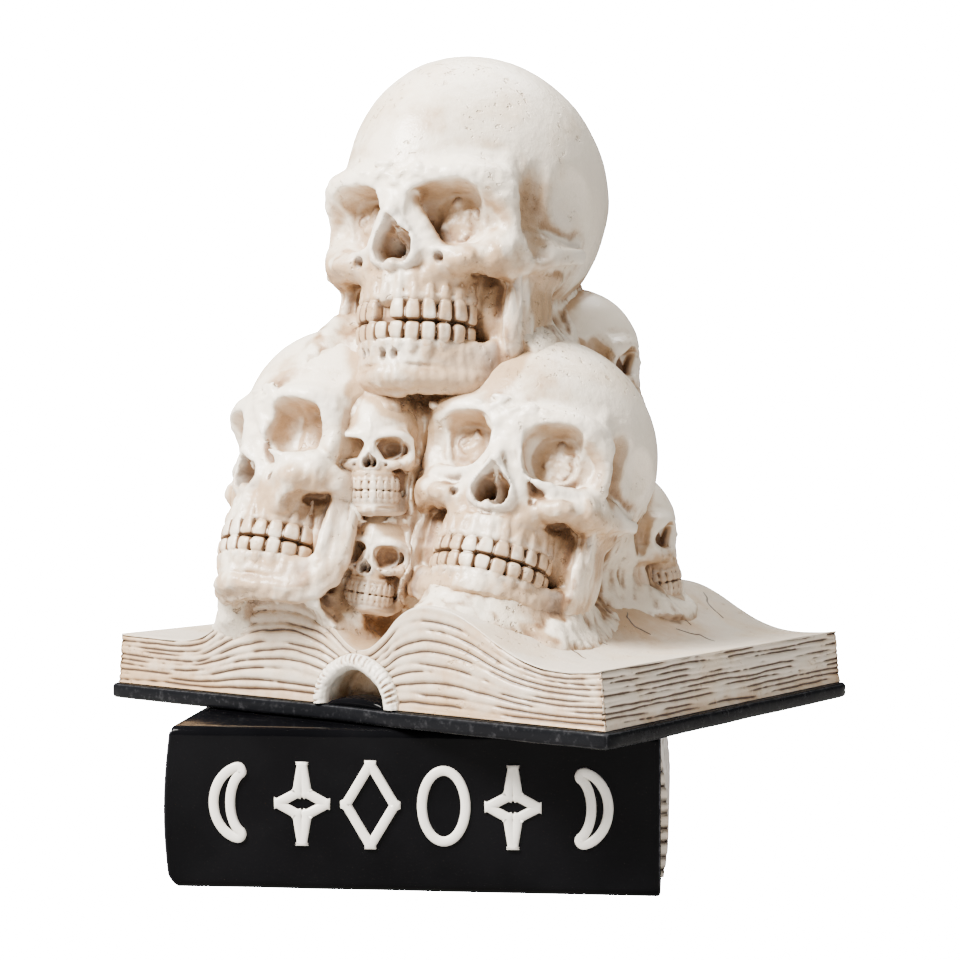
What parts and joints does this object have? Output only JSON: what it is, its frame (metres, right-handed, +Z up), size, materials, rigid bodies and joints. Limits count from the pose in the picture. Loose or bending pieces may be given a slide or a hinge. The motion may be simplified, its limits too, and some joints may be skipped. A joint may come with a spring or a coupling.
{
  "type": "halloween skull decoration",
  "caption": "Cast table decoration: a pile of skulls on an open book, which lies askew across a closed book with a rounded spine.",
  "frame": {"origin": "on the floor, under the middle of the open book, which is the middle of the object's box seen from above", "axes": "+Z up, -Y towards the viewer and the closed book's spine, +X to the viewer's right"},
  "size_m": [0.2606, 0.2426, 0.2778],
  "materials": {
    "book_cover": "satin black paint on cast resin",
    "page": "cream paint with a brown wash on cast resin",
    "bone": "off-white paint with a tan wash on cast resin, half matt",
    "bone_shaded": "off-white paint under a heavier tan and brown wash on cast resin"
  },
  "bodies": {
    "root": {"closed_book_cover": "book_cover", "closed_book_pages": "page", "open_book_cover": "book_cover", "open_book_pages_left": "page", "open_book_pages_right": "page", "headband_front": "page", "headband_back": "page", "pile_core": "bone_shaded", "skull_top": "bone", "skull_right": "bone", "skull_left": "bone", "skull_small_upper": "bone", "skull_small_lower": "bone", "skull_side_upper": "bone", "skull_side_lower": "bone", "skull_back": "bone"}
  },
  "joints": []
}
